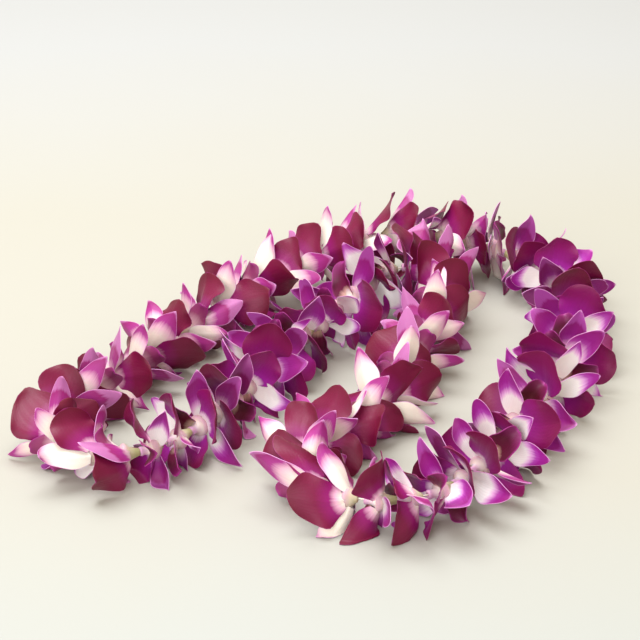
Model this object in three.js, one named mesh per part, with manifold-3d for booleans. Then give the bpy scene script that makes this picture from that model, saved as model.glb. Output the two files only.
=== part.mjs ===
// A fresh flower lei: dendrobium orchid blooms strung through their throats on one cotton
// thread, which is tied into a closed loop. The lei lies loosely on a flat surface, folded
// over so that two legs of it have two strands each. The blooms are pushed close together,
// and each node holds a few neighbours, the stalk of one standing in the throat of the next.
//
// Units are millimetres and +Z is up. The lei rests on the plane Z = 0, and the middle of
// its bounding box, seen from above, is the origin.

import * as THREE from "three";
import { mergeVertices } from "three/addons/utils/BufferGeometryUtils.js";
import Module from "manifold-3d";

// ---------------------------------------------------------------- driving dimensions

const BLOOMS = 80; // strung along the whole loop, all facing the same way
const BLOOMS_PER_NODE = 2;
const THREAD_RADIUS = 0.55;
const BORE_RADIUS = 1.25; // the needle's hole through the throat of a bloom
const KNOT_RADIUS = 1.5;
const TAIL_LENGTH = 9; // the two cut ends that stand out of the knot
const TAIL_ANGLES = [75, 160]; // round the thread, in degrees from its left

// Each blade starts inside the throat, at a radius and a distance ahead of the bloom's
// middle. It is thickest at the keel behind its midrib.
const SEPAL = { root: 5.4, start: -3.5, length: 33, width: 18, thick: 0.8 };
const PETAL = { root: 5.4, start: -1.6, length: 32, width: 35, thick: 0.85 };
const LIP = { root: 3.8, start: 1, length: 20, width: 15, thick: 0.9 };
const BLADE_ROWS = 2; // bands of facets from the root to the tip
const ROW_SPREAD = 0.75; // below 1, the bands stand closer towards the tip

// Where the six blades stand round the throat, in degrees from the top sepal.
const SEPAL_ANGLES = [0, 124, 236];
const PETAL_ANGLES = [61, 299];
const LIP_ANGLE = 180;

// The outside of a throat, as radius and distance ahead of the bloom's middle.
const STALK = { radius: 3, ahead: -8.4 }; // the cut end at the back
const FUNNEL = { radius: 7.7, ahead: -2 }; // the widest place, where the blades stand
const COLUMN = { radius: 2.4, ahead: 7.8 }; // the nose at the front
const WAIST_RADIUS = 3.2; // between two blooms of one node, halfway along
const THROAT_SIDES = 5;
const CHIN = 0.16; // how far the funnel bulges to the lip's side, as a share of its radius

// Each bloom keeps to its own cell of the strand. The wall between two cells is flat near
// the thread and a leaning cone further out.
const WALL_START = 9.7; // from the middle of a bloom
const WALL_FLAT = 4.5; // radius of the flat
const WALL_GAP = 0.95; // from a blade's middle to the wall
const KNOT_GAP = 2.4; // the same at the wall where the knot lies

const BEND_REACH = 11; // over which the strand's bend is measured, each way
const BEND_ROOM = 0.8; // share of the bend's radius that blades inside the bend may use
const PRESS_HEIGHT = 1.7; // below this height blades begin to bend flat along the surface
const PRESS_LEVEL = 0.1; // height of the middle of a blade that is pressed flat

// The route of the thread, by hand: the left tip, up the outer strand to the fold at the
// back, down the right to the front tip, and back along the inner strand.
const ROUTE = [
  [-168, -191, 19], [-160, -156, 19], [-126, -106, 20], [-84, -42, 20], [-38, 15, 23],
  [8, 51, 30], [53, 69, 37], [97, 71, 31], [138, 64, 23], [166, 32, 19], [173, -20, 19],
  [168, -80, 19], [150, -138, 19], [122, -186, 19], [99, -234, 19], [68, -268, 19],
  [28, -275, 19], [-4, -256, 19], [-7, -215, 19], [24, -177, 20], [52, -132, 20],
  [66, -80, 22], [84, -34, 26], [84, 6, 31], [58, 18, 35], [31, -7, 29], [2, -45, 22],
  [-30, -92, 20], [-56, -151, 19], [-91, -203, 19], [-134, -224, 19],
];
const ROUTE_MIDDLE = [9.6, -100.5]; // where the middle of the lei's box falls in that list

// ---------------------------------------------------------------- colours

const PETAL_WINE = new THREE.Color("#7c1f48");
const PETAL_VIOLET = new THREE.Color("#a5388f");
const COTTON = new THREE.Color("#efe9da");

// ---------------------------------------------------------------- chance, the same each time

// A number from 0 to 1 for bloom number i, one for each purpose.
function chance(i, purpose) {
  const wave = Math.sin(i * 12.9898 + purpose * 78.233) * 43758.5453;
  return wave - Math.floor(wave);
}

function between(low, high, share) {
  return low + (high - low) * share;
}

const degrees = THREE.MathUtils.degToRad;

// ---------------------------------------------------------------- the strand

const strand = new THREE.CatmullRomCurve3(
  ROUTE.map(([x, y, z]) => new THREE.Vector3(x - ROUTE_MIDDLE[0], y - ROUTE_MIDDLE[1], z)),
  true, "catmullrom", 0.5,
);
strand.arcLengthDivisions = 4000;
const strandLength = strand.getLength();
const pitch = strandLength / BLOOMS;

// The place at a distance along the strand, with the level heading and the level left.
function station(distance) {
  const share = THREE.MathUtils.euclideanModulo(distance / strandLength, 1);
  const heading = strand.getTangentAt(share).setZ(0).normalize();
  const left = new THREE.Vector3(-heading.y, heading.x, 0);
  return { centre: strand.getPointAt(share), heading, left };
}

// How sharply the strand turns to the left, in radians for each millimetre.
function bend(distance) {
  const before = station(distance - BEND_REACH).heading;
  const after = station(distance + BEND_REACH).heading;
  const turn = Math.atan2(before.x * after.y - before.y * after.x, before.dot(after));
  return turn / (2 * BEND_REACH);
}

// ---------------------------------------------------------------- room for each bloom

// How far a bloom's blades lean forward from square to the strand, in radians. Blooms that
// look towards the front of the lei (-Y) are more open.
function openness(i) {
  const towardsBack = station(i * pitch).heading.y;
  return degrees(24 + 13 * towardsBack + between(-13, 13, chance(i, 1)));
}

// How a bloom is tilted on the thread: how far ahead it comes for each millimetre to its
// left, and for each millimetre up.
function tilt(i) {
  return { left: between(-0.38, 0.38, chance(i, 2)), up: between(-0.4, 0.24, chance(i, 6)) };
}

// The wall in front of bloom i, as a distance along the strand from its throat. It leans
// as the blooms on both sides of it do.
function wall(i, reach, angle) {
  let lean = 0;
  for (const bloom of [i, (i + 1) % BLOOMS]) {
    const tilted = tilt(bloom);
    lean += 0.4 * Math.tan(openness(bloom));
    lean += 0.5 * (tilted.left * Math.cos(angle) + tilted.up * Math.sin(angle));
  }
  return WALL_START + lean * Math.max(0, reach - WALL_FLAT);
}

function wallGap(i) {
  return i === BLOOMS - 1 ? KNOT_GAP : WALL_GAP;
}

// Leaves a value alone in the middle of a range and bends it gently to stay inside it.
function keepWithin(value, low, high) {
  const edge = 0.18 * (high - low);
  if (value > high - edge) return high - edge * Math.exp((high - edge - value) / edge);
  if (value < low + edge) return low + edge * Math.exp((value - low - edge) / edge);
  return value;
}

// Blades that would go under the surface lie along it instead.
function pressed(height) {
  const spare = PRESS_HEIGHT - PRESS_LEVEL;
  if (height > PRESS_HEIGHT) return height;
  return PRESS_LEVEL + spare * Math.exp((height - PRESS_HEIGHT) / spare);
}

// Turns strand coordinates (left of the thread, above it, ahead of the bloom's throat)
// into a point, with the blade bent clear of the next bloom, the bend and the surface.
function clearPoint(i, left, up, ahead) {
  const distance = i * pitch + ahead;
  const turn = bend(distance);
  let across = left;
  if (across * turn > 0) {
    const room = BEND_ROOM / Math.abs(turn);
    across = room * Math.tanh(across / room);
  }
  const middle = station(distance).centre.z;
  const above = pressed(middle + up) - middle;
  const reach = Math.hypot(across, above);
  const angle = Math.atan2(above, across);
  const stretch = 1 - across * turn;
  const behind = (i + BLOOMS - 1) % BLOOMS;
  const low = wall(behind, reach, angle) - pitch + wallGap(behind) / stretch;
  const high = wall(i, reach, angle) - wallGap(i) / stretch;
  const place = station(i * pitch + keepWithin(ahead, low, high));
  const point = place.centre.clone().addScaledVector(place.left, across);
  point.z = Math.max(place.centre.z + above, PRESS_LEVEL);
  return point;
}

// ---------------------------------------------------------------- solids

const wasm = await Module();
wasm.setup();

// Moves every vertex of a closed geometry with a rule, and makes a solid of the result.
function shapedSolid(geometry, rule) {
  geometry.deleteAttribute("normal");
  geometry.deleteAttribute("uv");
  const merged = mergeVertices(geometry, 1e-4);
  const corners = merged.getIndex();
  const positions = merged.getAttribute("position");
  const vertProperties = new Float32Array(positions.count * 3);
  for (let k = 0; k < positions.count; k++) {
    const vertex = new THREE.Vector3().fromBufferAttribute(positions, k);
    rule(vertex).toArray(vertProperties, k * 3);
  }
  const triVerts = [];
  for (let k = 0; k < corners.count; k += 3) {
    const [a, b, c] = [corners.getX(k), corners.getX(k + 1), corners.getX(k + 2)];
    if (a !== b && b !== c && c !== a) triVerts.push(a, b, c);
  }
  const mesh = new wasm.Mesh({ numProp: 3, vertProperties, triVerts: new Uint32Array(triVerts) });
  return new wasm.Manifold(mesh);
}

function namedMesh(name, solid, material) {
  const { vertProperties, triVerts } = solid.getMesh();
  const geometry = new THREE.BufferGeometry();
  geometry.setAttribute("position", new THREE.BufferAttribute(new Float32Array(vertProperties), 3));
  geometry.setIndex(new THREE.BufferAttribute(new Uint32Array(triVerts), 1));
  geometry.computeVertexNormals();
  const mesh = new THREE.Mesh(geometry, material);
  mesh.name = name;
  return mesh;
}

// ---------------------------------------------------------------- blades of a bloom

// Half the width of each kind of blade at a share of its length, as a share of the widest.
const arch = (share, power) => Math.max(0, Math.sin(Math.PI * share)) ** power;
const outlines = {
  sepal: (u) => arch(0.04 + 0.96 * u, 1),
  petal: (u) => arch(0.03 + 0.97 * u ** 1.2, 0.9),
  lip: (u) => arch(0.1 + 0.9 * u, 0.8),
};

// The middle surface of a blade at a share u of its length and v of its half width.
function bladePoint(i, blade, u, v) {
  const { size, kind, angle, lean, curl, roll, twist, cup, scale } = blade;
  const length = size.length * scale;
  const pitchHere = lean + curl * u;
  const out = size.root + (length * (Math.sin(pitchHere) - Math.sin(lean))) / curl;
  const ahead = size.start + (length * (Math.cos(lean) - Math.cos(pitchHere))) / curl;
  const half = 0.5 * size.width * scale * outlines[kind](u);
  const turned = roll + twist * u;
  const sideways = half * (v * Math.cos(turned) - cup * v * v * Math.sin(turned));
  const lift = half * (v * Math.sin(turned) + cup * v * v * Math.cos(turned));
  const reach = out - lift * Math.sin(pitchHere);
  const left = reach * Math.cos(angle) - sideways * Math.sin(angle);
  const up = reach * Math.sin(angle) + sideways * Math.cos(angle);
  const tilted = tilt(i);
  const forward = ahead + lift * Math.cos(pitchHere) + tilted.left * left + tilted.up * up;
  return clearPoint(i, left, up, forward);
}

// The direction that the blade's face looks in.
function bladeFace(i, blade, u) {
  const step = 0.02;
  const inside = THREE.MathUtils.clamp(u, step, 1 - step);
  const along = bladePoint(i, blade, inside + step, 0).sub(bladePoint(i, blade, inside - step, 0));
  const side = bladePoint(i, blade, inside, step).sub(bladePoint(i, blade, inside, -step));
  return along.cross(side).normalize();
}

// A blade is a cone with three sides: two of its ridges are the blade's edges, and the
// third is the keel behind.
function bladeSolid(i, blade) {
  const cone = new THREE.ConeGeometry(1, 1, 3, BLADE_ROWS, false, Math.PI);
  return shapedSolid(cone, (vertex) => {
    const u = (vertex.y + 0.5) ** ROW_SPREAD;
    const v = -Math.sign(Math.round(vertex.x * 1e5));
    const point = bladePoint(i, blade, u, v);
    const onKeel = v === 0 && Math.round(vertex.z * 1e5) < 0;
    return onKeel ? point.addScaledVector(bladeFace(i, blade, u), -blade.size.thick) : point;
  });
}

// The attitude of every blade of bloom i.
function bladesOf(i) {
  const turned = 360 * chance(i, 3);
  const scale = between(0.88, 1.1, chance(i, 4));
  const open = openness(i);
  const blade = (kind, size, place, number, choice) => ({
    kind,
    size,
    scale,
    angle: degrees(turned + place + between(-13, 13, chance(i, 10 + number))),
    lean: open + degrees(between(...choice.lean, chance(i, 20 + number))),
    curl: degrees(between(...choice.curl, chance(i, 30 + number))),
    roll: degrees(between(...choice.roll, chance(i, 90 + number))),
    twist: degrees(between(...choice.twist, chance(i, 40 + number))),
    cup: between(...choice.cup, chance(i, 50 + number)),
  });
  const sepal = { lean: [-22, 6], curl: [-34, 40], roll: [-38, 38], twist: [-40, 40], cup: [0, 0.2] };
  const petal = { lean: [2, 26], curl: [-30, 34], roll: [-34, 34], twist: [-40, 40], cup: [0.02, 0.3] };
  const lip = { lean: [14, 26], curl: [-52, -35], roll: [0, 0], twist: [-4, 4], cup: [0.5, 0.7] };
  return [
    ...SEPAL_ANGLES.map((place, k) => blade("sepal", SEPAL, place, k, sepal)),
    ...PETAL_ANGLES.map((place, k) => blade("petal", PETAL, place, 3 + k, petal)),
    blade("lip", LIP, LIP_ANGLE, 5, lip),
  ];
}

// ---------------------------------------------------------------- throat and bore

// A point near the thread, which runs straight from one throat to the next.
function corePoint(i, left, up, ahead) {
  const steps = i + ahead / pitch;
  const before = station(Math.floor(steps) * pitch);
  const after = station(Math.ceil(steps) * pitch);
  const share = steps - Math.floor(steps);
  const point = before.centre.clone().lerp(after.centre, share);
  point.addScaledVector(before.left.clone().lerp(after.left, share), left);
  point.z += up;
  return point;
}

// The throats of a node are one sleeve, whose bore bends at each bloom.
function sleeveSolid(first, lipAngles) {
  const last = (BLOOMS_PER_NODE - 1) * pitch;
  const outside = [[STALK.radius, STALK.ahead]];
  const bore = [[BORE_RADIUS, STALK.ahead]];
  for (let n = 0; n < BLOOMS_PER_NODE; n++) {
    if (n > 0) outside.push([WAIST_RADIUS, (n - 0.5) * pitch]);
    outside.push([FUNNEL.radius, n * pitch + FUNNEL.ahead]);
    bore.push([BORE_RADIUS, n * pitch]);
  }
  outside.push([COLUMN.radius, last + COLUMN.ahead]);
  bore.push([BORE_RADIUS, last + COLUMN.ahead]);
  const outline = [bore[0], ...outside, ...bore.reverse()];
  const profile = outline.map(([radius, ahead]) => new THREE.Vector2(radius, ahead));
  return shapedSolid(new THREE.LatheGeometry(profile, THROAT_SIDES), (vertex) => {
    const nearest = THREE.MathUtils.clamp(Math.round(vertex.y / pitch), 0, BLOOMS_PER_NODE - 1);
    const facing = Math.cos(Math.atan2(vertex.x, vertex.z) - lipAngles[nearest]);
    const inFunnel = Math.hypot(vertex.x, vertex.z) > WAIST_RADIUS + 0.1;
    const bulge = inFunnel ? 1 + CHIN * Math.max(0, facing) : 1;
    return corePoint(first, vertex.z * bulge, vertex.x * bulge, vertex.y);
  });
}

// ---------------------------------------------------------------- nodes

// A slab under the surface, which cuts the pressed blades off flat at Z = 0.
const SLAB = { side: 900, depth: 40 };
const slabBox = new THREE.BoxGeometry(SLAB.side, SLAB.side, SLAB.depth);
const belowSurface = shapedSolid(slabBox, (vertex) => vertex.setZ(vertex.z - SLAB.depth / 2));

const SMALLEST_DETAIL = 0.4; // corners closer to a flat than this are left out

function largestPiece(solid) {
  return solid.decompose().sort((a, b) => b.volume() - a.volume())[0];
}

function bloomsMesh(k) {
  const first = k * BLOOMS_PER_NODE;
  const blooms = [];
  for (let n = 0; n < BLOOMS_PER_NODE; n++) blooms.push(bladesOf(first + n));
  let solid = sleeveSolid(first, blooms.map((blades) => blades[blades.length - 1].angle));
  blooms.forEach((blades, n) => {
    for (const blade of blades) solid = solid.add(bladeSolid(first + n, blade));
  });
  solid = largestPiece(solid.subtract(belowSurface).simplify(SMALLEST_DETAIL));
  const colour = PETAL_WINE.clone().lerp(PETAL_VIOLET, chance(k, 5));
  const material = new THREE.MeshStandardMaterial({ color: colour, roughness: 0.55, metalness: 0 });
  return namedMesh(`blooms_${String(k + 1).padStart(2, "0")}`, solid, material);
}

// A cut end of the thread, lying in the gap between the last bloom and the first.
function tailSolid(angle) {
  const last = BLOOMS - 1;
  const tail = new THREE.CylinderGeometry(THREAD_RADIUS * 0.8, THREAD_RADIUS * 0.8, 1, 5, 2);
  return shapedSolid(tail, (vertex) => {
    const reach = (vertex.y + 0.5) * TAIL_LENGTH;
    const left = reach * Math.cos(angle) - vertex.x * Math.sin(angle);
    const up = reach * Math.sin(angle) + vertex.x * Math.cos(angle);
    return corePoint(last, left, up, wall(last, reach, angle) - vertex.z);
  });
}

function threadMesh() {
  const loop = shapedSolid(
    new THREE.TubeGeometry(strand, BLOOMS, THREAD_RADIUS, 4, true),
    (vertex) => vertex,
  );
  const knotPlace = corePoint(BLOOMS - 1, 0, 0, WALL_START);
  const knot = shapedSolid(new THREE.IcosahedronGeometry(KNOT_RADIUS, 0), (vertex) =>
    vertex.add(knotPlace),
  );
  let solid = loop.add(knot);
  for (const angle of TAIL_ANGLES) solid = solid.add(tailSolid(degrees(angle)));
  const material = new THREE.MeshStandardMaterial({ color: COTTON, roughness: 0.9, metalness: 0 });
  return namedMesh("thread", solid, material);
}

const lei = new THREE.Group();
lei.add(threadMesh());
for (let k = 0; k < BLOOMS / BLOOMS_PER_NODE; k++) lei.add(bloomsMesh(k));

export default lei;
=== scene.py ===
# %% [markdown]
# # A fresh flower lei
#
# A flower lei is a garland of fresh blooms. This one is strung from dendrobium orchids: a
# long needle pushes a cotton thread through the throat of each bloom, and the thread is
# tied into a loop. The lei lies folded on a flat surface, so it is never a neat circle.
#
# Every bloom is a small wreath of soft blades round a funnel: three sepals behind, two
# broad petals in front of them, and one lip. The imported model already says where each
# bloom is and how far its blades reach. This script gives each bloom its finer piece, with
# rounder and thinner blades, and the finishes of the real flower.

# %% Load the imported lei
import math

import bmesh
import bpy
import numpy as np
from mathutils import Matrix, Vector


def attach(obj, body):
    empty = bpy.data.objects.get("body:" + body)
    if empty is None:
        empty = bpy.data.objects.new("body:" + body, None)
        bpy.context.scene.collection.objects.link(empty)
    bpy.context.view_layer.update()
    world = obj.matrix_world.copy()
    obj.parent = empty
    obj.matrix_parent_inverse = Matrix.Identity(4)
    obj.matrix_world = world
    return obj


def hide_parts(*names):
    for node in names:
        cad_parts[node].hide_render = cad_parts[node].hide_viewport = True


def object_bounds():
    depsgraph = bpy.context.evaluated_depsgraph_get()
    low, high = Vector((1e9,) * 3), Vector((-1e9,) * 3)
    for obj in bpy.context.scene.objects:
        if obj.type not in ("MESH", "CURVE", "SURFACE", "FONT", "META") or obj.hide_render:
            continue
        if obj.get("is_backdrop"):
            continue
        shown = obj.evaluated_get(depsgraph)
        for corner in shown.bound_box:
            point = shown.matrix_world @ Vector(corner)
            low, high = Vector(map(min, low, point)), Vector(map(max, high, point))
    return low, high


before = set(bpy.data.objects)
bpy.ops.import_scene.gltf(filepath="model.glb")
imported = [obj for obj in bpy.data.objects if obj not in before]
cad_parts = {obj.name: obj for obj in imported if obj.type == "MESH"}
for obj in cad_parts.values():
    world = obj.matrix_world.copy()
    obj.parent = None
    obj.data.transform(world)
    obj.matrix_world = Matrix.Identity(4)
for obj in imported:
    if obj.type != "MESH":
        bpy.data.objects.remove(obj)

packed_box = [list(corner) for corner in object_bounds()]
print("packed lei, in metres:", packed_box)

# %% [markdown]
# ## Camera
#
# The lei lies on the table and the viewer stands in front of it, looking down at about 27
# degrees. A long lens from far away keeps the near and the far blooms almost the same
# size. The camera could be aimed with a constraint, but a rotation worked out once from
# the line of sight leaves nothing live in the file.

# %% Camera
MM = 0.001  # one millimetre in Blender's metres
LOOK_AT = Vector((-9.6, 100.5, 0.0)) * MM
CAMERA_DISTANCE = 1.5
CAMERA_ELEVATION = math.radians(27)
SENSOR = 36.0
LENS = 117.2

sight = Vector((0, math.cos(CAMERA_ELEVATION), -math.sin(CAMERA_ELEVATION)))
camera = bpy.data.objects.new("camera", bpy.data.cameras.new("camera"))
bpy.context.scene.collection.objects.link(camera)
bpy.context.scene.camera = camera
camera.data.sensor_width = SENSOR
camera.data.lens = LENS
camera.location = LOOK_AT - sight * CAMERA_DISTANCE
camera.rotation_euler = sight.to_track_quat("-Z", "Y").to_euler()
print("camera at", [round(c, 3) for c in camera.location])

# %% [markdown]
# ## Colours and nodes
#
# Colours are picked as sRGB hex values, as a maker reads them from a paint chart, while
# the shader works with linear light. One function turns the first into the second. One
# more function adds a shader node with its settings and its links, so that each finish
# below reads as a short list.

# %% Colours and nodes
def linear(hex_colour):
    """An sRGB hex colour such as "#8a2460" as the linear RGBA that a shader socket takes."""
    channels = [int(hex_colour[k:k + 2], 16) / 255 for k in (1, 3, 5)]
    light = [c / 12.92 if c <= 0.04045 else ((c + 0.055) / 1.055) ** 2.4 for c in channels]
    return (*light, 1.0)


def add_node(tree, kind, sockets=None, stops=None, **settings):
    """Adds a node, sets its properties, and fills each named socket with a value or a link."""
    made = tree.nodes.new(kind)
    for name, value in settings.items():
        setattr(made, name, value)
    for socket, value in (sockets or {}).items():
        if isinstance(value, bpy.types.NodeSocket):
            tree.links.new(value, made.inputs[socket])
        else:
            made.inputs[socket].default_value = value
    for k, (place, hex_colour) in enumerate(stops or []):
        elements = made.color_ramp.elements
        stop = elements[k] if k < 2 else elements.new(place)  # a new ramp has two already
        stop.position, stop.color = place, linear(hex_colour)
    return made


MIX_A, MIX_B, MIX_RESULT = 6, 7, 2  # the colour sockets of Blender's Mix node


def new_material(name):
    """An empty node material and its tree."""
    material = bpy.data.materials.new(name)
    material.use_nodes = True
    material.node_tree.nodes.clear()
    return material, material.node_tree


def finish_material(tree, **sockets):
    """Ends a material in one Principled shader with these sockets."""
    named = {name.replace("_", " "): value for name, value in sockets.items()}
    shader = add_node(tree, "ShaderNodeBsdfPrincipled", named)
    add_node(tree, "ShaderNodeOutputMaterial", {"Surface": shader.outputs[0]})


# %% [markdown]
# ## Table and light
#
# The table is a plain pale surface. Real paper and painted wood are never one flat colour,
# so a very soft mottle keeps it alive. From near to far its colour is painted light: a little
# creamier in the middle and cooler at both ends, as the room's light falls on it. The light is
# that of a bright room: one wide soft lamp overhead, a large window behind the viewer on the
# left and a pale surrounding, so the shadows under the petals stay soft.

# %% Table
TABLE_SIZE = 9.0
PAINTED_LIGHT_NEAR, PAINTED_LIGHT_FAR = -0.35, 0.75  # where its painted light changes, in metres along Y
MOTTLE_SCALE = 5.0  # each metre, so the blotches are about 200 mm across
MOTTLE_DEPTH = 0.12  # how far a blotch moves the colour along the ramp

material, tree = new_material("painted_table")
place = add_node(tree, "ShaderNodeTexCoord").outputs["Object"]
depth = add_node(tree, "ShaderNodeSeparateXYZ", {0: place}).outputs["Y"]
depth = add_node(tree, "ShaderNodeMapRange", {
    "Value": depth, "From Min": PAINTED_LIGHT_NEAR, "From Max": PAINTED_LIGHT_FAR}).outputs[0]
mottle = add_node(tree, "ShaderNodeTexNoise", {
    "Vector": place, "Scale": MOTTLE_SCALE, "Detail": 3.0}).outputs["Fac"]
shade = add_node(tree, "ShaderNodeMath", {0: mottle, 1: MOTTLE_DEPTH, 2: depth},
                 operation="MULTIPLY_ADD").outputs[0]
# painted light: the ramp from near to far is creamier in the middle and cooler at both ends; the
# mottle is the table's own uneven tone
paint = add_node(tree, "ShaderNodeValToRGB", {0: shade}, stops=[
    (0.0, "#abb2b2"), (0.28, "#b0b0a7"), (0.62, "#b1b1a8"), (1.0, "#b2b6b8")]).outputs[0]
finish_material(tree, Base_Color=paint, Roughness=0.7)

bm = bmesh.new()
bmesh.ops.create_grid(bm, x_segments=2, y_segments=2, size=TABLE_SIZE / 2)
mesh = bpy.data.meshes.new("table")
bm.to_mesh(mesh)
bm.free()
table = bpy.data.objects.new("table", mesh)
bpy.context.scene.collection.objects.link(table)
table.data.materials.append(material)
table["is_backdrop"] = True
print("table", TABLE_SIZE, "m wide")

# %% Light
ROOM_COLOUR, ROOM_STRENGTH = "#fff0d6", 0.74


def add_lamp(name, place, size, power, hex_colour):
    """A square soft lamp that looks at the middle of the lei."""
    lamp = bpy.data.objects.new(name, bpy.data.lights.new(name, "AREA"))
    bpy.context.scene.collection.objects.link(lamp)
    lamp.data.size, lamp.data.energy = size, power
    lamp.data.color = linear(hex_colour)[:3]
    lamp.location = place
    lamp.rotation_euler = (-Vector(place)).to_track_quat("-Z", "Y").to_euler()
    print(name, "of", power, "W,", size, "m wide")


add_lamp("ceiling_light", place=(-0.4, 0.35, 2.0), size=1.7, power=60, hex_colour="#fcfcff")
add_lamp("window_light", place=(-0.9, -2.2, 1.3), size=2.2, power=50, hex_colour="#fbfcff")

world = bpy.data.worlds.new("room")
bpy.context.scene.world = world
world.use_nodes = True
surrounding = world.node_tree.nodes["Background"]
surrounding.inputs["Color"].default_value = linear(ROOM_COLOUR)
surrounding.inputs["Strength"].default_value = ROOM_STRENGTH
bpy.context.scene.view_settings.view_transform = "Standard"

# %% [markdown]
# ## The route of the thread
#
# The thread runs along a closed curve through a few listed points. Blender could draw
# it as a curve object, but the blooms need to ask it questions, such as where is the
# place 300 mm along, and which way does it head there. So the same smooth curve is
# measured once into a table, and the answers are read between its rows.

# %% The route of the thread
BLOOMS = 80
PAIRS = BLOOMS // 2  # two neighbouring blooms share one node
ROUTE = np.array([
    (-168, -191, 19), (-160, -156, 19), (-126, -106, 20), (-84, -42, 20), (-38, 15, 23),
    (8, 51, 30), (53, 69, 37), (97, 71, 31), (138, 64, 23), (166, 32, 19), (173, -20, 19),
    (168, -80, 19), (150, -138, 19), (122, -186, 19), (99, -234, 19), (68, -268, 19),
    (28, -275, 19), (-4, -256, 19), (-7, -215, 19), (24, -177, 20), (52, -132, 20),
    (66, -80, 22), (84, -34, 26), (84, 6, 31), (58, 18, 35), (31, -7, 29), (2, -45, 22),
    (-30, -92, 20), (-56, -151, 19), (-91, -203, 19), (-134, -224, 19)], dtype=float)
ROUTE -= (9.6, -100.5, 0)
ROUTE_STEPS = 200  # table rows for each stretch between two points


def smooth_route():
    """Points along the closed Catmull-Rom curve through ROUTE."""
    share = np.arange(ROUTE_STEPS)[:, None] / ROUTE_STEPS
    rows = []
    for k in range(len(ROUTE)):
        before, start, end, after = (ROUTE[(k + n) % len(ROUTE)] for n in (-1, 0, 1, 2))
        leave, arrive = (end - before) / 2, (after - start) / 2
        rows.append((2 * start - 2 * end + leave + arrive) * share ** 3
                    + (3 * end - 3 * start - 2 * leave - arrive) * share ** 2
                    + leave * share + start)
    rows.append(ROUTE[:1])
    return np.concatenate(rows)


route_points = smooth_route()
steps = np.linalg.norm(np.diff(route_points, axis=0), axis=1)
route_lengths = np.concatenate([[0], np.cumsum(steps)])
strand_length = route_lengths[-1]
pitch = strand_length / BLOOMS
ahead_points = np.roll(route_points[:-1], -1, axis=0) - np.roll(route_points[:-1], 1, axis=0)
route_headings = ahead_points[:, :2] / np.linalg.norm(ahead_points[:, :2], axis=1)[:, None]
route_headings = np.concatenate([route_headings, route_headings[:1]])
print(f"thread {strand_length:.0f} mm long, one bloom each {pitch:.1f} mm")


def read_route(distance, table_column):
    """One column of the table, read at each distance along the closed loop, in mm."""
    return np.interp(np.mod(distance, strand_length), route_lengths, table_column)


def station(distance):
    """Centre, level heading and level left of the thread at each distance, in mm."""
    centre = np.stack([read_route(distance, route_points[:, k]) for k in range(3)], axis=-1)
    heading = np.stack([read_route(distance, route_headings[:, k]) for k in range(2)], axis=-1)
    heading /= np.linalg.norm(heading, axis=-1, keepdims=True)
    left = np.stack([-heading[..., 1], heading[..., 0], 0 * heading[..., 0]], axis=-1)
    return centre, heading, left


BEND_REACH = 11  # the bend is measured over this many mm each way


def bend(distance):
    """How sharply the thread turns to the left, in radians for each mm."""
    _, before, _ = station(distance - BEND_REACH)
    _, after, _ = station(distance + BEND_REACH)
    cross = before[..., 0] * after[..., 1] - before[..., 1] * after[..., 0]
    return np.arctan2(cross, np.sum(before * after, axis=-1)) / (2 * BEND_REACH)


# %% [markdown]
# ## Room for each bloom
#
# On a real lei the blooms are pushed together until their petals interleave, and each
# petal bends out of its neighbour's way. A soft-body simulation could find that shape,
# but a rule does it in a moment: every bloom owns the stretch of thread between two
# leaning walls, and a blade that would cross a wall bends gently along it. Blades inside
# a bend share the little room there is, and blades near the table lie down on it.

# %% Chance that is the same each time
def chance(i, purpose):
    """A number from 0 to 1 for bloom i, a different one for each purpose."""
    wave = math.sin(i * 12.9898 + purpose * 78.233) * 43758.5453
    return wave - math.floor(wave)


def between(low, high, share):
    """The place at a share of the way from low to high."""
    return low + (high - low) * share


# What bloom i draws a number for. Its blades add their own number, 0 to 5, to the tens.
FOR_OPENING, FOR_LEFT_TILT, FOR_TURN, FOR_SIZE, FOR_TINT, FOR_UP_TILT = range(1, 7)
FOR_PLACE, FOR_LEAN, FOR_CURL, FOR_TWIST, FOR_CUP, FOR_TIP = range(10, 70, 10)
FOR_WAVE, FOR_PALE, FOR_ROLL = 70, 80, 90
print("the first five tints:", [round(chance(i, FOR_TINT), 2) for i in range(5)])

# %% Walls between blooms
WALL_START = 9.7  # mm from the middle of a bloom
WALL_FLAT = 4.5  # mm from the thread to where the wall begins to lean
WALL_GAP, KNOT_GAP = 0.95, 2.4  # mm from a blade to the wall, and where the knot lies
LEAN_SHARE, TILT_SHARE = 0.4, 0.5  # how much of each bloom's lean and tilt a wall takes
OPEN_ANGLE, OPEN_TURN, OPEN_CHANCE = 24, 13, 13  # degrees: usual, by heading, by chance
LEFT_TILT, UP_TILT = (-0.38, 0.38), (-0.4, 0.24)  # mm ahead for each mm to that side
SOFT_EDGE = 0.18  # share of the room in which a blade begins to give way
BEND_ROOM = 0.8  # share of the bend's radius that blades inside the bend may use
PRESS_HEIGHT, PRESS_LEVEL = 1.7, 0.4  # mm above the table: bent below the first
STRAIGHT = 1e-9  # the least bend, so that a straight thread divides nothing by zero


def openness(i):
    """How far the blades of bloom i lean forward, in radians."""
    towards_back = station(i * pitch)[1][1]
    drawn = between(-OPEN_CHANCE, OPEN_CHANCE, chance(i, FOR_OPENING))
    return math.radians(OPEN_ANGLE + OPEN_TURN * towards_back + drawn)


def tilt(i):
    """How bloom i is tilted on the thread: mm ahead for each mm to the left, and up."""
    to_left = between(*LEFT_TILT, chance(i, FOR_LEFT_TILT))
    return to_left, between(*UP_TILT, chance(i, FOR_UP_TILT))


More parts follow.
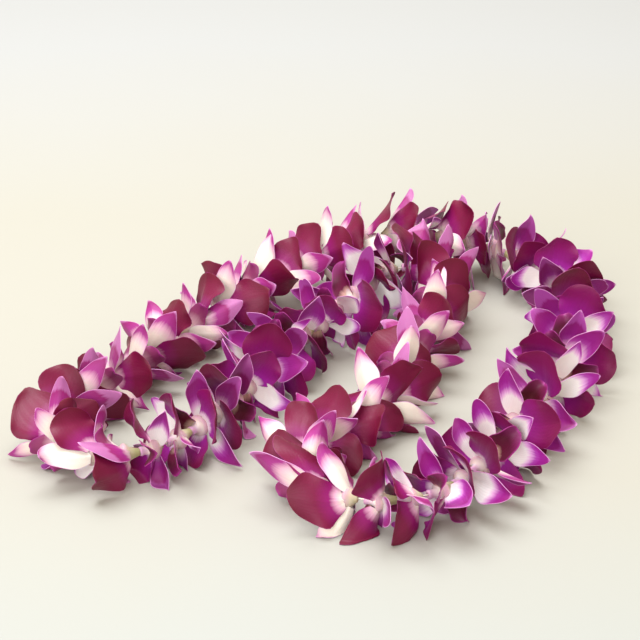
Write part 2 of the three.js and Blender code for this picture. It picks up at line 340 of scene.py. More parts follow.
def wall(i, reach, angle):
    """The wall in front of bloom i, as a distance ahead of its throat."""
    lean = 0
    for bloom in (i, (i + 1) % BLOOMS):  # it leans as the blooms on both sides do
        to_left, upward = tilt(bloom)
        lean += LEAN_SHARE * math.tan(openness(bloom))
        lean += TILT_SHARE * (to_left * np.cos(angle) + upward * np.sin(angle))
    return WALL_START + lean * np.maximum(0, reach - WALL_FLAT)


def wall_gap(i):
    """How far blades stay from the wall in front of bloom i."""
    return KNOT_GAP if i == BLOOMS - 1 else WALL_GAP


def keep_within(value, low, high):
    """Bends values gently at both ends of a range so that they stay inside it."""
    edge = SOFT_EDGE * (high - low)
    top = high - edge * np.exp(np.minimum(0, (high - edge - value) / edge))
    bottom = low + edge * np.exp(np.minimum(0, (value - low - edge) / edge))
    return np.where(value > high - edge, top, np.where(value < low + edge, bottom, value))


def pressed(height):
    """Heights near the table are squeezed, so that a blade lies on it."""
    spare = PRESS_HEIGHT - PRESS_LEVEL
    low = PRESS_LEVEL + spare * np.exp(np.minimum(0, (height - PRESS_HEIGHT) / spare))
    return np.where(height > PRESS_HEIGHT, height, low)


def clear_point(i, left, up, ahead):
    """Turns places beside bloom i's throat into points of the lei, bent clear of all."""
    distance = i * pitch + ahead
    turn = bend(distance)
    room = BEND_ROOM / np.maximum(np.abs(turn), STRAIGHT)
    across = np.where(left * turn > 0, room * np.tanh(left / room), left)
    middle = station(distance)[0][..., 2]
    above = pressed(middle + up) - middle
    reach, angle = np.hypot(across, above), np.arctan2(above, across)
    stretch = 1 - across * turn
    behind = (i - 1) % BLOOMS
    low = wall(behind, reach, angle) - pitch + wall_gap(behind) / stretch
    high = wall(i, reach, angle) - wall_gap(i) / stretch
    centre, _, leftward = station(i * pitch + keep_within(ahead, low, high))
    point = centre + leftward * across[..., None]
    point[..., 2] = np.maximum(centre[..., 2] + above, PRESS_LEVEL)
    return point


leans = [math.degrees(openness(i)) for i in range(BLOOMS)]
print(f"blooms lean forward by {min(leans):.1f} to {max(leans):.1f} degrees")

# %% [markdown]
# ## One blade
#
# A sepal, a petal or a lip is a soft sheet less than a millimetre thick. It could be
# drawn by hand and bent with modifiers, but 480 of them are needed and no two may be
# alike. So a flat grid is made for each, and its vertices are moved by a rule: one axis
# of the grid runs along the blade and follows its curl, the other runs across it and
# follows its outline, its cupped section and its wavy edge. Then the sheet is extruded, and
# its back sinks by the thickness: solidify would do that too, but it can't leave the rim
# thin and the midrib thick. The grid remembers where each vertex is on the blade, so that
# the finish can paint the base, the veins and the rim.

# %% Kinds of blade
# Lengths are in mm, angles in degrees, and a pair is the range that chance picks from.
SEPAL = dict(
    material=1, places=(0, 124, 236), first=0, root=5.4, start=-3.5, length=33.5, width=16.8,
    lean=(-22, 6), curl=(-34, 40), roll=(-38, 38), twist=(-40, 40), cup=(0.06, 0.42),
    tip=(-80, 24), wave=0.5, ripples=1.3, fold=0.75, across=8, along=16)
PETAL = dict(
    material=0, places=(61, 299), first=3, root=5.4, start=-1.6, length=32.5, width=33,
    lean=(2, 26), curl=(-30, 34), roll=(-34, 34), twist=(-40, 40), cup=(0.04, 0.38),
    tip=(-60, 20), wave=1.6, ripples=1.9, fold=0.45, across=14, along=16)
LIP = dict(
    material=2, places=(180,), first=5, root=3.8, start=1, length=21, width=18,
    lean=(14, 26), curl=(-52, -35), roll=(0, 0), twist=(-4, 4), cup=(0.5, 0.7),
    tip=(-50, -25), wave=0.7, ripples=2.6, fold=0.2, across=10, along=14)
PLACE_CHANCE = 13  # degrees that a blade may stand away from its place round the throat
SIZE_RANGE = (0.88, 1.1)  # of a whole bloom
SIDE_ROLL = 0.45  # blades roll this much more where the thread runs from side to side
TIP_FROM = 0.55  # the share of a blade past which its tip bends on its own


def arch(share, power):
    """A rounded hump from 0 at share 0 over 1 in the middle to 0 at share 1."""
    return np.maximum(0, np.sin(math.pi * share)) ** power


def half_width(kind, u):
    """Half the width at a share u of the length, as a share of the widest half."""
    if kind is SEPAL:
        share = 0.14 + 0.86 * u
        return np.where(share < 0.5, arch(share, 0.85), arch(share, 0.8))
    if kind is PETAL:
        share = 0.11 + 0.89 * u ** 1.2
        return np.where(share < 0.5, arch(share, 0.9), arch(share, 0.56))
    body = arch(0.1 + 0.9 * u, 0.8)  # a lip has two side lobes and a broad front lobe
    side_lobes = np.where(u < 0.62, arch(np.clip(0.16 + u / 0.95, 0, 1), 0.7), 0)
    front_lobe = 0.78 * arch(np.clip((u - 0.36) / 0.64, 0, 1), 0.6)
    return 0.5 * np.maximum(side_lobes, front_lobe) + 0.5 * np.maximum(body, front_lobe)


def draw_angle(limits, i, purpose):
    """An angle in radians, by chance between two limits in degrees."""
    return math.radians(between(*limits, chance(i, purpose)))


def blades_of(i):
    """The six blades of bloom i, each with its own attitude."""
    turned = 360 * chance(i, FOR_TURN)
    scale = between(*SIZE_RANGE, chance(i, FOR_SIZE))
    loosened = 1 + SIDE_ROLL * (1 - abs(station(i * pitch)[1][1]))
    blades = []
    for kind in (SEPAL, PETAL, LIP):
        for k, place in enumerate(kind["places"]):
            n = kind["first"] + k
            stray = between(-PLACE_CHANCE, PLACE_CHANCE, chance(i, FOR_PLACE + n))
            blades.append(dict(
                kind=kind, number=n, scale=scale, angle=math.radians(turned + place + stray),
                lean=openness(i) + draw_angle(kind["lean"], i, FOR_LEAN + n),
                curl=draw_angle(kind["curl"], i, FOR_CURL + n),
                roll=loosened * draw_angle(kind["roll"], i, FOR_ROLL + n),
                twist=draw_angle(kind["twist"], i, FOR_TWIST + n),
                cup=between(*kind["cup"], chance(i, FOR_CUP + n)),
                tip=draw_angle(kind["tip"], i, FOR_TIP + n),
                phase=2 * math.pi * chance(i, FOR_WAVE + n)))
    return blades


print(BLOOMS * len(blades_of(0)), "blades in all")


# %% Curve, section and outline of a blade
SPINE_STEPS = 96  # short straight steps that the middle line is added up from
FOLD_SOFTNESS = 0.16  # how round the bottom of a fold is, as a share of the half width
GROOVE_DEPTH, GROOVE_WIDTH = 0.3, 0.09  # along the middle: mm, and a share of the half
EDGE_SHIFT = 0.9  # how far apart the ripples of the two edges are, each way in radians
UNEVEN = 0.07  # how much the outline wavers, as a share of the half width
UNEVEN_WAVES, UNEVEN_SHIFT = 9, 1.5  # radians from base to tip, and to each side


def spine(blade, u):
    """How far out and how far ahead the middle line of a blade has come at each u."""
    kind = blade["kind"]
    fine = np.linspace(0, 1, SPINE_STEPS + 1)
    tip = np.clip((fine - TIP_FROM) / (1 - TIP_FROM), 0, 1) ** 2
    slope = blade["lean"] + blade["curl"] * fine + blade["tip"] * tip
    step = kind["length"] * blade["scale"] / SPINE_STEPS
    out = kind["root"] + step * np.concatenate([[0], np.cumsum(np.cos(slope[:-1]))])
    ahead = kind["start"] + step * np.concatenate([[0], np.cumsum(np.sin(slope[:-1]))])
    return np.interp(u, fine, out), np.interp(u, fine, ahead), np.interp(u, fine, slope)


def cross_section(blade, half, u, v):
    """How high a point stands over the flat blade: its cup, its fold and its wavy edge."""
    kind = blade["kind"]
    soft = FOLD_SOFTNESS
    folded = (np.sqrt(v ** 2 + soft ** 2) - soft) / (math.sqrt(1 + soft ** 2) - soft)
    bowl = between(v ** 2, folded, kind["fold"]) * blade["cup"]
    swing = np.sin(2 * math.pi * kind["ripples"] * u + blade["phase"] + EDGE_SHIFT * np.sign(v))
    edge = np.abs(v) ** 3 * np.sin(math.pi * np.clip(u, 0, 1)) ** 0.5
    groove = -GROOVE_DEPTH * np.exp(-(v / GROOVE_WIDTH) ** 2) * (1 - u) ** 0.5
    return half * bowl + kind["wave"] * swing * edge + groove


def blade_points(i, blade, u, v):
    """Where the points of a blade lie on the lei, in mm."""
    kind = blade["kind"]
    out, ahead, slope = spine(blade, u)
    half = 0.5 * kind["width"] * blade["scale"] * half_width(kind, u)
    waver = np.sin(UNEVEN_WAVES * u + blade["phase"] + UNEVEN_SHIFT * np.sign(v))
    half = half * (1 + UNEVEN * waver)
    height = cross_section(blade, half, u, v)
    roll = blade["roll"] + blade["twist"] * u
    sideways = half * v * np.cos(roll) - height * np.sin(roll)
    lift = half * v * np.sin(roll) + height * np.cos(roll)
    reach = out - lift * np.sin(slope)
    angle = blade["angle"]
    left = reach * math.cos(angle) - sideways * math.sin(angle)
    up = reach * math.sin(angle) + sideways * math.cos(angle)
    to_left, upward = tilt(i)
    ahead = ahead + lift * np.cos(slope) + to_left * left + upward * up
    return clear_point(i, left, up, ahead)


# %% Make a blade
BLADE_THICKNESS = 0.5
RIM_THINNING = 0.4  # how much thinner a blade is at its rim, as a share
MIDRIB, MIDRIB_WIDTH = 0.4, 0.12  # mm thicker along the middle, over a share of the half
TIP_CROWDING = 0.6  # rows of the grid stand closer towards the round tip
SAME_PLACE = 1e-6  # vertices that are closer than this, in metres, are one


def add_sheet(bm, marks, i, blade):
    """Adds a flat grid and moves it into the face of a blade."""
    kind = blade["kind"]
    grid = bmesh.ops.create_grid(
        bm, x_segments=kind["across"], y_segments=kind["along"], size=1.0)["verts"]
    flat = np.array([v.co[:2] for v in grid])
    row = (flat[:, 1] + 1) / 2
    u = np.sin(row * math.pi / 2) * TIP_CROWDING + (1 - TIP_CROWDING) * row
    v = -flat[:, 0]
    points = blade_points(i, blade, u, v) * MM
    pale = chance(i, FOR_PALE + blade["number"])
    for vertex, point, along, across in zip(grid, points, u, v):
        vertex.co = point
        vertex[marks["along"]], vertex[marks["across"]] = along, across
        vertex[marks["pale"]] = pale
    bmesh.ops.remove_doubles(bm, verts=grid, dist=SAME_PLACE)  # the tip is one point
    return [vertex for vertex in grid if vertex.is_valid]


def thicken(bm, marks, sheet, material_index):
    """Extrudes a face, sinks the back, and returns the vertices of the front."""
    faces = list({face for vertex in sheet for face in vertex.link_faces})
    for face in faces:
        face.material_index = material_index
        face.normal_update()
    for vertex in sheet:
        vertex.normal_update()
    normals = {vertex: vertex.normal.copy() for vertex in sheet}
    shell = bmesh.ops.extrude_face_region(bm, geom=faces, use_keep_orig=True)["geom"]
    for vertex in sheet:  # thin at the rim and ribbed along the middle
        across, along = vertex[marks["across"]], vertex[marks["along"]]
        thick = BLADE_THICKNESS * (1 - RIM_THINNING * across ** 4)
        thick += MIDRIB * math.exp(-(across / MIDRIB_WIDTH) ** 2) * (1 - along)
        vertex.co -= normals[vertex] * thick * MM
        vertex[marks["back"]] = 1.0
    return {g for g in shell if isinstance(g, bmesh.types.BMVert)}


def crisp_rim(front):
    """Keeps the rim crisp: its long edges are sharp, and so are most of its short ones."""
    for vertex in front:  # a set, so which short edges stay smooth can vary, unseen
        for rim_edge in vertex.link_edges:
            if rim_edge.other_vert(vertex) not in front:
                for face in rim_edge.link_faces:
                    for side in face.edges:
                        side.smooth = side == rim_edge


def add_blade(bm, marks, i, blade):
    """Adds a thin closed blade to the bloom's bmesh, with its face looking ahead."""
    sheet = add_sheet(bm, marks, i, blade)
    crisp_rim(thicken(bm, marks, sheet, blade["kind"]["material"]))


# %% [markdown]
# ## Throat and column
#
# Behind the blades the bloom narrows into a funnel, swells to one side into a blunt chin
# under the lip, and ends in its cut stalk. In the middle of the funnel stands the column,
# a short thick post with a rounded cap. The needle's hole runs through all of it. This is
# turned work, so half of its section is spun round the thread.

# %% Throat and column
BORE_RADIUS = 1.25  # the needle's hole
STALK_END, COLUMN_NOSE = -8.4, 7.7
FUNNEL = [  # half of the section, as radius and distance ahead, in mm
    (BORE_RADIUS, STALK_END), (2.3, STALK_END), (2.6, -7.7), (3.2, -6.8), (4.1, -5.7),
    (5.2, -4.5), (6.1, -3.2), (6.7, -1.9), (6.7, -0.6), (6.2, 0.2), (5.3, 0.4), (4.4, 0.7),
    (3.6, 1.3), (3.0, 2.5), (2.7, 4.2), (2.9, 5.5), (3.1, 6.4), (2.8, 7.3), (2.0, 7.7),
    (BORE_RADIUS, COLUMN_NOSE), (BORE_RADIUS, 4.0), (BORE_RADIUS, 0.0), (BORE_RADIUS, -7.0)]
FUNNEL_SIDES = 24
STALK_FROM = -6.0  # behind this the funnel is stalk
LONG_STALK = pitch - COLUMN_NOSE + 1  # it reaches into the throat of the bloom behind
CHIN = 0.22  # how far the chin bulges, as a share of the radius
FLUSH_RADIUS = 8  # mm: the mark "across" of a throat is its radius as a share of this
THROAT_MATERIAL = 3


def core_point(i, left, up, ahead):
    """A point near the thread, which runs straight from one throat to the next."""
    steps = i + ahead / pitch
    share = (steps - np.floor(steps))[..., None]
    before, _, left_before = station(np.floor(steps) * pitch)
    after, _, left_after = station(np.ceil(steps) * pitch)
    point = before + (after - before) * share
    point = point + (left_before + (left_after - left_before) * share) * left[..., None]
    point[..., 2] += up
    return point


def add_throat(bm, marks, i, lip_angle):
    """Adds the spun throat and column of bloom i."""
    section = [bm.verts.new((radius, 0, ahead)) for radius, ahead in FUNNEL]
    ring = [bm.edges.new((a, b)) for a, b in zip(section, section[1:] + section[:1])]
    known = set(bm.verts) - set(section)
    bmesh.ops.spin(bm, geom=section + ring, cent=(0, 0, 0), axis=(0, 0, 1),
                   angle=2 * math.pi, steps=FUNNEL_SIDES, use_merge=True)
    turned = [v for v in bm.verts if v not in known]
    places = np.array([v.co for v in turned])
    x, y, ahead = places.T
    share = np.clip((ahead - STALK_END) / -STALK_END, 0, 1)
    facing = np.maximum(0, np.cos(np.arctan2(y, x) - lip_angle))
    outside = np.hypot(x, y) > BORE_RADIUS + 0.1  # the hole itself stays round
    bulge = np.where(outside, 1 + CHIN * facing * np.sin(math.pi * share), 1)
    if i % 2 == 1:
        stalk = np.clip((STALK_FROM - ahead) / (STALK_FROM - STALK_END), 0, 1)
        ahead = ahead - stalk * (LONG_STALK + STALK_END)
    points = core_point(i, x * bulge, y * bulge, ahead) * MM
    for vertex, point, out, forward in zip(turned, points, np.hypot(x, y), ahead):
        vertex.co = point
        vertex[marks["along"]] = (forward - STALK_END) / (COLUMN_NOSE - STALK_END)
        vertex[marks["across"]] = out / FLUSH_RADIUS
    faces = list({face for vertex in turned for face in vertex.link_faces})
    for face in faces:
        face.material_index = THROAT_MATERIAL
    bmesh.ops.recalc_face_normals(bm, faces=faces)


print(f"section of {len(FUNNEL)} points, spun in {FUNNEL_SIDES} steps")


# %% [markdown]
# ## Finishes of the flower
#
# A dendrobium's blade is living tissue: a colourless skin of tiny domed cells over
# coloured sap. The skin gives a soft satin shine, the domes break it up, and light that
# enters one side leaks out of the other. So each finish is a rough dielectric with a fine
# relief and a little light inside. The colour runs along the blade, from a white claw to
# violet to deep wine, and its border is frayed into streaks. It could be painted as a
# picture, but a ramp that reads how far along its blade a point is fits all 480 of them.

# %% Streaks and reach of the colour
MARKS = ("along", "across", "back", "pale", "tint")  # what a vertex knows of its blade
STREAK_SCALE = (7, 1.2, 40)  # fine across the blade, long along it, new for each blade
MARGIN_LEAD = 0.17  # how far ahead the colour is at the margin, as a share of the length


def blade_streaks(tree, read):
    """Streaks that follow the blade: fine across it and long along it."""
    place = add_node(tree, "ShaderNodeCombineXYZ", {
        "X": read["across"], "Y": read["along"], "Z": read["pale"]}).outputs[0]
    stretched = add_node(tree, "ShaderNodeMapping", {
        "Vector": place, "Scale": STREAK_SCALE}).outputs[0]
    return add_node(tree, "ShaderNodeTexNoise", {
        "Vector": stretched, "Scale": 1.0, "Detail": 3.0}).outputs["Fac"]


def colour_reach(tree, read, streaks, fray, pale_shift):
    """How far along its colours each point is: frayed, and farther on at the margins."""
    shift = add_node(tree, "ShaderNodeMath", {0: streaks, 1: fray, 2: -fray / 2},
                     operation="MULTIPLY_ADD").outputs[0]
    reach = add_node(tree, "ShaderNodeMath", {0: read["along"], 1: shift},
                     operation="ADD").outputs[0]
    side = add_node(tree, "ShaderNodeMath", {0: read["across"]},
                    operation="ABSOLUTE").outputs[0]
    margin = add_node(tree, "ShaderNodeMath", {0: side, 1: 2.0}, operation="POWER").outputs[0]
    reach = add_node(tree, "ShaderNodeMath", {0: margin, 1: MARGIN_LEAD, 2: reach},
                     operation="MULTIPLY_ADD").outputs[0]
    whiter = add_node(tree, "ShaderNodeMath", {
        0: read["pale"], 1: -pale_shift, 2: pale_shift / 2}, operation="MULTIPLY_ADD").outputs[0]
    return add_node(tree, "ShaderNodeMath", {0: reach, 1: whiter}, operation="ADD").outputs[0]


# %% Sort of a blade
BLOOM_SHARE, BLADE_SHARE = 0.6, 0.4  # of a blade's sort: from its bloom, and its own
RED_HUE, VIOLET_HUE = 0.514, 0.466  # where 0.5 leaves the hue as it is
DEEP_VALUE, LIGHT_VALUE = 0.7, 1.14


def by_sort(tree, read, colour):
    """Makes some blooms, and some blades of one bloom, redder and deeper than others."""
    own = add_node(tree, "ShaderNodeMath", {0: read["pale"], 1: BLADE_SHARE},
                   operation="MULTIPLY").outputs[0]
    sort = add_node(tree, "ShaderNodeMath", {0: read["tint"], 1: BLOOM_SHARE, 2: own},
                    operation="MULTIPLY_ADD").outputs[0]
    hue = add_node(tree, "ShaderNodeMapRange", {
        "Value": sort, "To Min": RED_HUE, "To Max": VIOLET_HUE}).outputs[0]
    value = add_node(tree, "ShaderNodeMapRange", {
        "Value": sort, "To Min": DEEP_VALUE, "To Max": LIGHT_VALUE}).outputs[0]
    return add_node(tree, "ShaderNodeHueSaturation", {
        "Hue": hue, "Value": value, "Color": colour}).outputs[0]


# %% Veins and rim of a blade
VEINS = 2.1  # scale of the vein pattern: about 7 on each half, 2.5 mm apart on a petal
VEIN_COLOUR, VEIN_STRENGTH = "#5a1238", 0.05


def vein_fan(tree, read):
    """Bands that run from the base to the tip, closer together where the blade is slim."""
    place = add_node(tree, "ShaderNodeCombineXYZ", {
        "X": read["across"], "Y": read["along"], "Z": 0.0}).outputs[0]
    return add_node(tree, "ShaderNodeTexWave", {
        "Vector": place, "Scale": VEINS, "Distortion": 1.2, "Detail": 2.0,
        "Detail Scale": 1.5}).outputs["Fac"]


def with_veins(tree, fan, colour):
    """Veins are a little deeper than the tissue between them."""
    veined = add_node(tree, "ShaderNodeMapRange", {
        "Value": fan, "From Min": 0.55, "From Max": 1.0, "To Max": VEIN_STRENGTH}).outputs[0]
    return add_node(tree, "ShaderNodeMix", {
        0: veined, MIX_A: colour, MIX_B: linear(VEIN_COLOUR)},
        data_type="RGBA").outputs[MIX_RESULT]


def with_rim(tree, read, colour, rim, rim_from):
    """Blends into the colour of the rim, at the margins and at the tip."""
    side = add_node(tree, "ShaderNodeMath", {0: read["across"]},
                    operation="ABSOLUTE").outputs[0]
    farthest = add_node(tree, "ShaderNodeMath", {0: side, 1: read["along"]},
                        operation="MAXIMUM").outputs[0]
    thinned = add_node(tree, "ShaderNodeMapRange", {
        "Value": farthest, "From Min": rim_from, "From Max": 1.0}).outputs[0]
    return add_node(tree, "ShaderNodeMix", {
        0: thinned, MIX_A: colour, MIX_B: linear(rim)}, data_type="RGBA").outputs[MIX_RESULT]


# %% Skin and whole finish of a blade
CELL_SCALE = 900.0  # each metre: real domed cells are finer, but wouldn't show


def domed_skin(tree, fan):
    """The fine relief of the cells, with the veins sunk into it."""
    place = add_node(tree, "ShaderNodeTexCoord").outputs["Object"]
    cells = add_node(tree, "ShaderNodeTexNoise", {
        "Vector": place, "Scale": CELL_SCALE, "Detail": 2.0}).outputs["Fac"]
    relief = add_node(tree, "ShaderNodeMath", {0: fan, 1: -0.2, 2: cells},
                      operation="MULTIPLY_ADD").outputs[0]
    return add_node(tree, "ShaderNodeBump", {
        "Height": relief, "Strength": 0.25, "Distance": 0.0004}).outputs[0]


def blade_finish(name, face, back, rim, rim_from, fray, pale_shift, roughness):
    """Soft orchid tissue. face and back are colours along the blade, rim its thin edge."""
    material, tree = new_material(name)
    read = {mark: add_node(tree, "ShaderNodeAttribute", attribute_name=mark).outputs["Fac"]
            for mark in MARKS}
    streaks, fan = blade_streaks(tree, read), vein_fan(tree, read)
    reach = colour_reach(tree, read, streaks, fray, pale_shift)
    front = add_node(tree, "ShaderNodeValToRGB", {0: reach}, stops=face).outputs[0]
    front = with_veins(tree, fan, by_sort(tree, read, front))
    behind = add_node(tree, "ShaderNodeValToRGB", {0: reach}, stops=back).outputs[0]
    colour = add_node(tree, "ShaderNodeMix", {
        0: read["back"], MIX_A: front, MIX_B: behind}, data_type="RGBA").outputs[MIX_RESULT]
    satin = add_node(tree, "ShaderNodeMapRange", {
        "Value": streaks, "From Min": 0.3, "From Max": 0.7,
        "To Min": roughness - 0.06, "To Max": roughness + 0.08}).outputs[0]
    finish_material(
        tree, Base_Color=with_rim(tree, read, colour, rim, rim_from), Roughness=satin,
        Normal=domed_skin(tree, fan), IOR=1.36, Subsurface_Weight=0.1,
        Subsurface_Radius=(1.0, 0.35, 0.45), Subsurface_Scale=0.001)
    print(name, "of", len(tree.nodes), "nodes")
    return material


# %% Finish of petals and sepals
petal_tissue = blade_finish(
    "petal_tissue", rim="#8c2468", rim_from=0.97, fray=0.1, pale_shift=0.12, roughness=0.42,
    face=[(0.0, "#fefafa"), (0.11, "#f6e0f4"), (0.21, "#a6249e"), (0.38, "#94147c"),
          (0.7, "#820e52"), (1.0, "#720c3c")],
    back=[(0.0, "#fbf0e4"), (0.12, "#e8b4d0"), (0.24, "#921a6e"), (0.5, "#780e40"),
          (1.0, "#660c2c")])
sepal_tissue = blade_finish(
    "sepal_tissue", rim="#dc9cd6", rim_from=0.94, fray=0.14, pale_shift=0.85, roughness=0.44,
    face=[(0.0, "#f8f6f6"), (0.31, "#f8f2f6"), (0.42, "#e2a6dc"), (0.52, "#b044a8"),
          (0.63, "#9a1e88"), (0.92, "#8e1870"), (1.0, "#a44498")],
    back=[(0.0, "#f8f1e4"), (0.34, "#f6e7df"), (0.53, "#e4b4cc"), (0.68, "#a8348c"),
          (0.93, "#962470"), (1.0, "#b468a4")])

# %% Finish of the lip
lip_tissue = blade_finish(
    "lip_tissue", rim="#a03088", rim_from=0.9, fray=0.12, pale_shift=0.05, roughness=0.4,
    face=[(0.0, "#efe3c4"), (0.12, "#d9b7a8"), (0.26, "#6e1436"), (0.6, "#5c0f2c"),
          (1.0, "#7a1c56")],
    back=[(0.0, "#efe6d4"), (0.25, "#dcb2c0"), (0.6, "#94406c"), (1.0, "#8a2a66")])

# %% [markdown]
# ## Finish of the throat
#
# The funnel and the column hold hardly any colour. They are waxy and cream, turning green
# towards the cut stalk. A ramp along the thread gives that, and soft blotches keep it
# from looking moulded. At its widest, where the blades are rooted, it takes their colour.

# %% Finish of the throat
BLOTCH_SCALE = 260.0  # each metre, so the blotches are about 4 mm across
BLOTCH_DEPTH = 0.12  # how far a blotch moves the colour along the ramp
FLUSH_COLOUR, FLUSH_STRENGTH = "#b04c94", 0.8

throat_tissue, tree = new_material("throat_tissue")
place = add_node(tree, "ShaderNodeTexCoord").outputs["Object"]
along = add_node(tree, "ShaderNodeAttribute", attribute_name="along").outputs["Fac"]
blotches = add_node(tree, "ShaderNodeTexNoise", {
    "Vector": place, "Scale": BLOTCH_SCALE, "Detail": 3.0}).outputs["Fac"]
reach = add_node(tree, "ShaderNodeMath", {0: blotches, 1: BLOTCH_DEPTH, 2: along},
                 operation="MULTIPLY_ADD").outputs[0]
wax = add_node(tree, "ShaderNodeValToRGB", {0: reach}, stops=[
    (0.0, "#b9b884"), (0.3, "#e2d8bc"), (0.5, "#efe4d8"), (0.72, "#f2e2e4"),
    (1.0, "#d9a4cc")]).outputs[0]
outward = add_node(tree, "ShaderNodeAttribute", attribute_name="across").outputs["Fac"]
flushed = add_node(tree, "ShaderNodeMapRange", {
    "Value": outward, "From Min": 0.6, "From Max": 0.95,
    "To Max": FLUSH_STRENGTH}).outputs[0]
wax = add_node(tree, "ShaderNodeMix", {
    0: flushed, MIX_A: wax, MIX_B: linear(FLUSH_COLOUR)},
    data_type="RGBA").outputs[MIX_RESULT]
skin = add_node(tree, "ShaderNodeBump", {
    "Height": blotches, "Strength": 0.2, "Distance": 0.0005}).outputs[0]
shine = add_node(tree, "ShaderNodeMapRange", {
    "Value": blotches, "To Min": 0.34, "To Max": 0.52}).outputs[0]
finish_material(
    tree, Base_Color=wax, Roughness=shine, Normal=skin, IOR=1.42,
    Subsurface_Weight=0.25, Subsurface_Radius=(1.0, 0.7, 0.4), Subsurface_Scale=0.002)
print("throat_tissue of", len(tree.nodes), "nodes")

# %% [markdown]
# ## The blooms
#
# Each bloom is seven closed shells: six blades and the throat. Two neighbours are one mesh,
# as they are one solid in the imported lei. The mesh takes the place of that plainer solid,
# rides with the lei, and is named orchids and the number of its pair.

# %% Make the blooms
FLOOR_CLEARANCE = 0.03 * MM


def add_bloom(bm, marks, i):
    """Adds bloom number i to a bmesh: six blades and the throat."""
    known = set(bm.verts)
    blades = blades_of(i)
    for blade in blades:
        add_blade(bm, marks, i, blade)
    add_throat(bm, marks, i, blades[-1]["angle"])
    for vertex in bm.verts:
        if vertex not in known:
            vertex[marks["tint"]] = chance(i, FOR_TINT)
            vertex.co.z = max(vertex.co.z, FLOOR_CLEARANCE)


def make_pair(p):
    """The finer piece for pair number p of blooms."""
    bm = bmesh.new()
    marks = {name: bm.verts.layers.float.new(name) for name in MARKS}
    for i in (2 * p, 2 * p + 1):
        add_bloom(bm, marks, i)
    for face in bm.faces:
        face.smooth = True
    number = f"{p + 1:02d}"
    mesh = bpy.data.meshes.new(f"orchids_{number}")
    bm.to_mesh(mesh)
    bm.free()
    for material in (petal_tissue, sepal_tissue, lip_tissue, throat_tissue):
        mesh.materials.append(material)
    pair = bpy.data.objects.new(f"orchids_{number}", mesh)
    bpy.context.scene.collection.objects.link(pair)
    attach(pair, "root")
    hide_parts(f"blooms_{number}")
    return pair


pairs = [make_pair(p) for p in range(PAIRS)]
triangles = sum(len(f.vertices) - 2 for pair in pairs for f in pair.data.polygons)
print(f"{len(pairs)} pairs of blooms with {triangles} triangles")

# %% [markdown]
# ## The thread
#
# Lei thread is doubled cotton, twisted from two plies. Each ply could be swept as its own
# curve, but one tube whose section has two lobes and turns as it goes looks the same at
# this size. The tube starts as a grid: one axis goes round the thread and the other
# along it. Where the loop closes there is a small knot with two cut ends.

# %% Make the thread
THREAD_RADIUS = 0.55
THREAD_SIDES = 10
THREAD_RINGS = 900
TWIST_PITCH = 7.0  # mm for one full turn of the plies
PLY_DIP = 0.26  # depth of the furrow between the plies, as a share of the radius
KNOT_RADIUS = 1.5
TAIL_LENGTH, TAIL_RINGS = 9, 8
TAIL_RADIUS = 0.8 * THREAD_RADIUS
TAIL_ANGLES = (75, 160)  # degrees round the thread, from its left


def add_tube(bm, rings, place_ring):
    """Adds a tube: place_ring says where a place round (radians) and along (0-1) goes."""
    grid = bmesh.ops.create_grid(
        bm, x_segments=THREAD_SIDES, y_segments=rings, size=1.0)["verts"]
    flat = np.array([v.co[:2] for v in grid])
    around, along = (flat[:, 0] + 1) * math.pi, (flat[:, 1] + 1) / 2
    for vertex, point in zip(grid, place_ring(around, along)):
        vertex.co = point * MM


def loop_ring(around, along):
    """The rule for the closed loop: two plies that turn as the thread goes on."""
    distance = along * strand_length
    turned = around - 2 * math.pi * distance / TWIST_PITCH
    radius = THREAD_RADIUS * (1 - PLY_DIP + PLY_DIP * np.abs(np.cos(turned)))
    left, up = radius * np.cos(around), radius * np.sin(around)
    return core_point(0, left, up, distance)


def tail_ring(angle):
    """The rule for a cut end that stands out of the knot at an angle round the thread."""
    def place_ring(around, along):
        reach = along * TAIL_LENGTH
        radius = TAIL_RADIUS * np.where(along > 0.999, 0.5, 1)  # its last ring is drawn in
        side, forward = radius * np.cos(around), radius * np.sin(around)
        left = reach * math.cos(angle) - side * math.sin(angle)
        up = reach * math.sin(angle) + side * math.cos(angle)
        last = BLOOMS - 1
        return core_point(last, left, up, wall(last, reach, angle) - forward)
    return place_ring


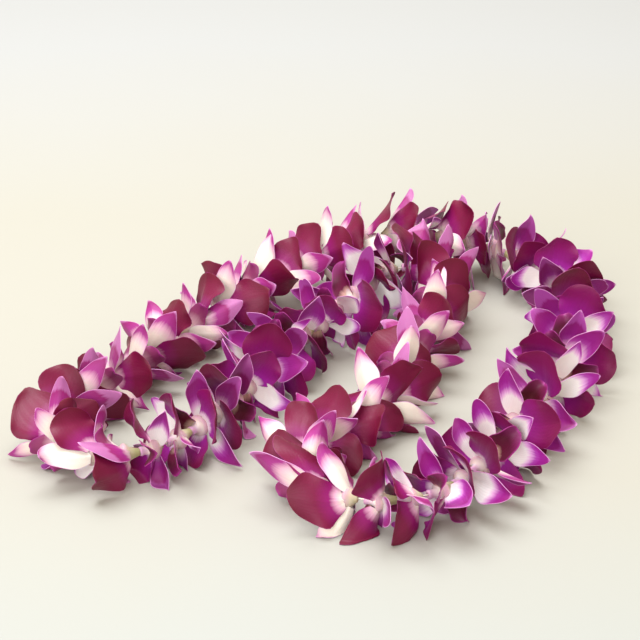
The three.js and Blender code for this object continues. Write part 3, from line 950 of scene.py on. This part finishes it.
bm = bmesh.new()
add_tube(bm, THREAD_RINGS, loop_ring)
for degrees in TAIL_ANGLES:
    add_tube(bm, TAIL_RINGS, tail_ring(math.radians(degrees)))
bmesh.ops.remove_doubles(bm, verts=bm.verts[:], dist=SAME_PLACE)
ends = [e for e in bm.edges if len(e.link_faces) == 1]
bmesh.ops.holes_fill(bm, edges=ends, sides=THREAD_SIDES)
knot_place = core_point(BLOOMS - 1, np.zeros(1), np.zeros(1), np.full(1, WALL_START))[0] * MM
knot = bmesh.ops.create_icosphere(bm, subdivisions=3, radius=KNOT_RADIUS * MM)["verts"]
for vertex in knot:  # two wraps of thread round the knot, as low ridges
    x, y, z = vertex.co / (KNOT_RADIUS * MM)
    ridge = 1 + 0.09 * math.sin(9 * (z + 0.5 * x)) - 0.05 * math.cos(4 * math.atan2(y, x))
    vertex.co = vertex.co * ridge + Vector(knot_place)
bmesh.ops.recalc_face_normals(bm, faces=bm.faces[:])
for face in bm.faces:
    face.smooth = True
mesh = bpy.data.meshes.new("strung_thread")
bm.to_mesh(mesh)
bm.free()
thread = bpy.data.objects.new("strung_thread", mesh)
bpy.context.scene.collection.objects.link(thread)

# %% Finish of the thread
FIBRE_SCALE = 1500.0  # each metre: single fibres are finer, but wouldn't show

cotton, tree = new_material("twisted_cotton")
place = add_node(tree, "ShaderNodeTexCoord").outputs["Object"]
fibres = add_node(tree, "ShaderNodeTexNoise", {
    "Vector": place, "Scale": FIBRE_SCALE, "Detail": 3.0}).outputs["Fac"]
yarn = add_node(tree, "ShaderNodeValToRGB", {0: fibres}, stops=[
    (0.25, "#d9d1bd"), (0.75, "#f4efe2")]).outputs[0]
fuzz = add_node(tree, "ShaderNodeBump", {
    "Height": fibres, "Strength": 0.4, "Distance": 0.0002}).outputs[0]
finish_material(tree, Base_Color=yarn, Roughness=0.92, Normal=fuzz, Sheen_Weight=0.2)
thread.data.materials.append(cotton)
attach(thread, "root")
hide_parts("thread")
print("thread has", sum(len(p.vertices) - 2 for p in mesh.polygons), "triangles")

# %% [markdown]
# ## Size
#
# The finer pieces take the place of the imported lei's plainer ones, so both boxes are
# printed: the packed one and the dressed one. The finer pieces have to stay the size of the
# imported lei.

# %% Sizes
dressed_box = [list(corner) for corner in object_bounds()]
for name, box in (("packed", packed_box), ("dressed", dressed_box)):
    print(name, [round(1000 * (high - low), 1) for low, high in zip(*box)], "mm")
